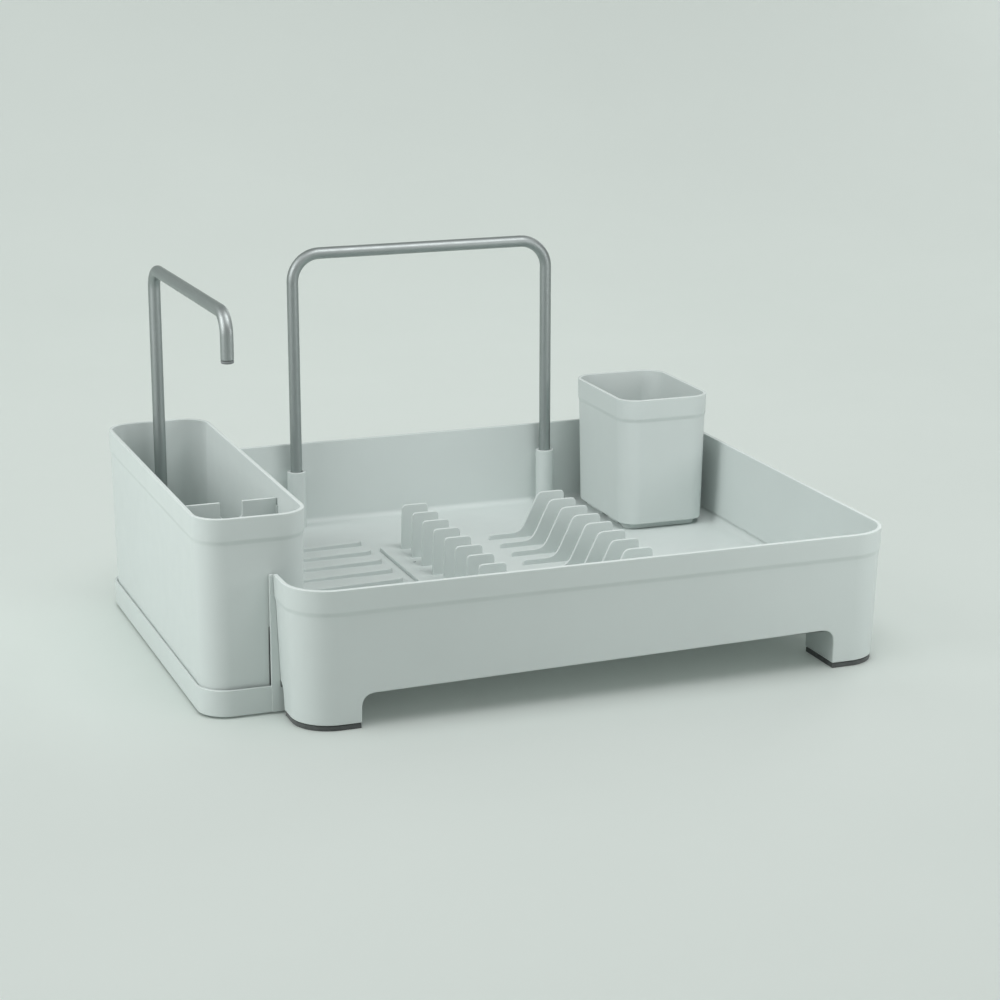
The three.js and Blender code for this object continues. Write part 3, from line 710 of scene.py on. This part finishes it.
class Nodes:
    """A material's node tree, with short calls to add nodes and links."""

    def __init__(self, name):
        self.material = bpy.data.materials.new(name)
        self.material.use_nodes = True
        self.tree = self.material.node_tree
        self.shader = self.tree.nodes["Principled BSDF"]
        self.coordinates = self.tree.nodes.new("ShaderNodeTexCoord")

    def add(self, kind, **settings):
        node = self.tree.nodes.new(kind)
        for key, value in settings.items():
            setattr(node, key, value)
        return node

    def link(self, output, target):
        self.tree.links.new(output, target)

    def noise(self, scale, detail, roughness=0.5, stretch=None, source="Object"):
        node = self.add("ShaderNodeTexNoise")
        node.inputs["Scale"].default_value = scale
        node.inputs["Detail"].default_value = detail
        node.inputs["Roughness"].default_value = roughness
        origin = self.coordinates.outputs[source]
        if stretch:
            mapping = self.add("ShaderNodeMapping")
            mapping.inputs["Scale"].default_value = stretch
            self.link(origin, mapping.inputs["Vector"])
            origin = mapping.outputs["Vector"]
        self.link(origin, node.inputs["Vector"])
        return node.outputs["Fac"]

    def ramp(self, source, low, high, low_at=0.3, high_at=0.7):
        """A colour or grey value that goes from low to high with the source."""
        node = self.add("ShaderNodeValToRGB")
        elements = node.color_ramp.elements
        elements[0].position, elements[1].position = low_at, high_at
        elements[0].color = low if isinstance(low, tuple) else (low, low, low, 1)
        elements[1].color = high if isinstance(high, tuple) else (high, high, high, 1)
        self.link(source, node.inputs["Fac"])
        return node.outputs["Color"]

    def bump(self, height, strength, distance, onto=None):
        node = self.add("ShaderNodeBump")
        node.inputs["Strength"].default_value = strength
        node.inputs["Distance"].default_value = distance
        self.link(height, node.inputs["Height"])
        if onto:
            self.link(onto, node.inputs["Normal"])
        return node.outputs["Normal"]


def moulded_plastic(name, colour, spread, roughness):
    """Matte moulded plastic: a fine eroded grain, slow tint changes and slightly uneven gloss."""
    n = Nodes(name)
    low = tuple(c * (1 - spread) for c in colour) + (1,)
    high = tuple(min(c * (1 + spread), 1) for c in colour) + (1,)
    n.link(n.ramp(n.noise(14, 4, 0.55), low, high), n.shader.inputs["Base Color"])
    n.link(n.ramp(n.noise(60, 3), roughness - 0.05, roughness + 0.06), n.shader.inputs["Roughness"])
    waviness = n.bump(n.noise(22, 2), 0.12, 0.0006)
    grain = n.bump(n.noise(1500, 3, 0.6), 0.35, 0.00006, waviness)
    n.link(grain, n.shader.inputs["Normal"])
    n.shader.inputs["Specular IOR Level"].default_value = 0.42
    n.shader.inputs["Subsurface Weight"].default_value = 0.04
    n.shader.inputs["Subsurface Radius"].default_value = (0.004, 0.004, 0.004)
    n.shader.inputs["Subsurface Scale"].default_value = 0.5
    return n.material


def satin_steel(name):
    """Bead-blasted steel tube with faint lengthwise drawing lines."""
    n = Nodes(name)
    lines = n.noise(1, 4, 0.6, (2600, 14, 1), "UV")
    grain = n.noise(1800, 3, 0.65)
    low, high = (0.33, 0.365, 0.36, 1), (0.41, 0.445, 0.44, 1)
    n.link(n.ramp(lines, low, high, 0.25, 0.75), n.shader.inputs["Base Color"])
    n.link(n.ramp(n.noise(90, 4, 0.6), 0.44, 0.53), n.shader.inputs["Roughness"])
    drawn = n.bump(lines, 0.15, 0.00003)
    n.link(n.bump(grain, 0.4, 0.00004, drawn), n.shader.inputs["Normal"])
    n.shader.inputs["Metallic"].default_value = 1
    return n.material


def rubber(name):
    """Soft non-slip rubber with a dull, slightly dusty surface."""
    n = Nodes(name)
    dust = n.ramp(n.noise(180, 5, 0.7), (0.065, 0.073, 0.071, 1), (0.092, 0.102, 0.099, 1))
    n.link(dust, n.shader.inputs["Base Color"])
    n.link(n.ramp(n.noise(400, 3), 0.72, 0.88), n.shader.inputs["Roughness"])
    n.link(n.bump(n.noise(1200, 4, 0.7), 0.5, 0.00008), n.shader.inputs["Normal"])
    n.shader.inputs["Sheen Weight"].default_value = 0.15
    return n.material


def backdrop_paint(name):
    """Matt pale paint, almost even."""
    n = Nodes(name)
    tint = n.ramp(n.noise(3, 3), (0.80, 0.87, 0.83, 1), (0.815, 0.885, 0.845, 1))
    n.link(tint, n.shader.inputs["Base Color"])
    n.link(n.ramp(n.noise(40, 3), 0.7, 0.8), n.shader.inputs["Roughness"])
    n.link(n.bump(n.noise(900, 4, 0.6), 0.2, 0.0001), n.shader.inputs["Normal"])
    return n.material


GREY = moulded_plastic("grey_plastic", (0.59, 0.648, 0.632), 0.012, 0.47)
PLUG = moulded_plastic("plug_plastic", (0.23, 0.25, 0.25), 0.03, 0.5)
STEEL = satin_steel("satin_steel")
RUBBER = rubber("foot_rubber")


# ---- The pieces and the CAD nodes they stand for ----

PIECES = bpy.data.collections.new("pieces")


def piece(obj, name, body, node, material):
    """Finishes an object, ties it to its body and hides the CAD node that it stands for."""
    obj.name = name
    obj.data.name = name
    smooth(obj)
    obj.data.materials.clear()
    obj.data.materials.append(material)
    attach(obj, body)
    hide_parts(node)
    PIECES.objects.link(obj)


piece(tray(), "tray_moulding", "tray", "tray", GREY)
for corner, square in leg_squares().items():
    piece(foot_pad(square), "tread_" + corner, "tray", "foot_pad_" + corner, RUBBER)
piece(plate_rack(), "rack_moulding", "plate_rack", "plate_rack", GREY)
piece(cutlery_cup(), "cup_moulding", "cup", "cutlery_cup", GREY)
piece(caddy(), "caddy_moulding", "caddy", "caddy", GREY)
piece(caddy_divider(), "divider_plate", "divider", "caddy_divider", GREY)
piece(drip_tray(), "drip_tray_moulding", "drip_tray", "caddy_drip_tray", GREY)
for corner in leg_squares():
    pad = "drip_pad_" + corner
    piece(drip_pad(pad), "button_" + corner, "drip_tray", pad, RUBBER)
piece(rail(), "rail_tube", "rail", "rail", STEEL)
for end in ("left", "right"):
    plug = "rail_end_plug_" + end
    piece(end_plug(plug), "rail_plug_" + end, "rail", plug, PLUG)
piece(hanger(), "hanger_tube", "hanger", "hanger", STEEL)
piece(end_plug("hanger_tip_plug"), "hanger_tip", "hanger", "hanger_tip_plug", PLUG)
foot_plug = end_plug("hanger_foot_plug")
piece(foot_plug, "hanger_foot_end", "hanger_foot", "hanger_foot_plug", PLUG)


# ---- Floor, light and camera ----

def backdrop():
    """A wide sheet that curves up behind the rack. Returns a collection that holds nothing else."""
    reach, bend_start, bend, top, steps = 16, 1.2, 1.6, 5, 12
    profile = [(-reach, 0), (bend_start, 0)]
    for i in range(1, steps + 1):
        angle = math.pi / 2 * i / steps
        profile.append((bend_start + bend * math.sin(angle), bend * (1 - math.cos(angle))))
    profile.append((bend_start + bend, top))
    verts, faces = [], []
    for x in (-reach, reach):
        verts += [(x, y, z) for y, z in profile]
    count = len(profile)
    for i in range(count - 1):
        faces.append((i, count + i, count + i + 1, i + 1))
    mesh = bpy.data.meshes.new("backdrop")
    mesh.from_pydata(verts, [], faces)
    mesh.polygons.foreach_set("use_smooth", [True] * len(faces))
    obj = bpy.data.objects.new("backdrop", mesh)
    bpy.context.scene.collection.objects.link(obj)
    mesh.materials.append(backdrop_paint("backdrop_paint"))
    only = bpy.data.collections.new("backdrop_only")
    only.objects.link(obj)
    return only


def softbox(name, place, size, watts, only=None, shadow=True):
    """A square light that faces the rack. With a collection in only, it lights nothing else."""
    light = bpy.data.lights.new(name, "AREA")
    light.shape = "SQUARE"
    light.size = size
    light.energy = watts
    light.use_shadow = shadow
    obj = bpy.data.objects.new(name, light)
    obj.location = place
    obj.rotation_euler = (Vector((0, 0, 0.08)) - Vector(place)).to_track_quat("-Z", "Y").to_euler()
    bpy.context.scene.collection.objects.link(obj)
    if only:
        obj.light_linking.receiver_collection = only


def studio_world(strength):
    """Even white light from all round."""
    world = bpy.data.worlds.new("studio")
    world.use_nodes = True
    background = world.node_tree.nodes["Background"]
    background.inputs["Color"].default_value = (1, 1, 1, 1)
    background.inputs["Strength"].default_value = strength
    bpy.context.scene.world = world


CAMERA_PLACE = (-0.66138, -1.83060, 0.62370)  # metres
CAMERA_TURN, CAMERA_FALL = 20.496, 15.013  # degrees to the right of +Y, and below level
CAMERA_LENS, CAMERA_SENSOR = 89.49, 36  # millimetres


def camera():
    """Looks at the rack from the front left, from a little above."""
    turn, fall = math.radians(CAMERA_TURN), math.radians(CAMERA_FALL)
    forward = Vector((math.sin(turn) * math.cos(fall), math.cos(turn) * math.cos(fall), -math.sin(fall)))
    right = Vector((math.cos(turn), -math.sin(turn), 0))
    up = right.cross(forward)
    data = bpy.data.cameras.new("camera")
    data.lens = CAMERA_LENS
    data.sensor_width = CAMERA_SENSOR
    data.clip_end = 100
    obj = bpy.data.objects.new("camera", data)
    rotation = Matrix((right, up, -forward)).transposed().to_4x4()
    obj.matrix_world = Matrix.Translation(Vector(CAMERA_PLACE)) @ rotation
    bpy.context.scene.collection.objects.link(obj)
    bpy.context.scene.camera = obj


# The fills light the pieces alone and the floor lights the backdrop alone, so each is set by itself.
BACKDROP = backdrop()
studio_world(0.403)
softbox("left", (-2, -0.3, 1.8), 1.2, 5.9)
softbox("back_right", (2.6, 2.4, 1.4), 1.2, 13.3)
softbox("left_fill", (-2, -0.3, 1.8), 1.2, 15.7, PIECES)
softbox("left_near_fill", (-0.9, -0.1, 0.5), 0.5, 2.6, PIECES)
softbox("right_near_fill", (0.55, -0.5, 0.3), 0.3, 1, PIECES)
softbox("front_fill", (0.3, -0.4, 1), 0.5, 2.6, PIECES)
softbox("overhead_fill", (0.2, -0.5, 1.4), 0.8, 4.3, PIECES)
softbox("floor_front", (0, -0.6, 2.4), 2, 16.4, BACKDROP)
softbox("floor_back", (0, 1.6, 2), 1.4, 9, BACKDROP, shadow=False)
camera()
bpy.context.scene.view_settings.view_transform = "Standard"
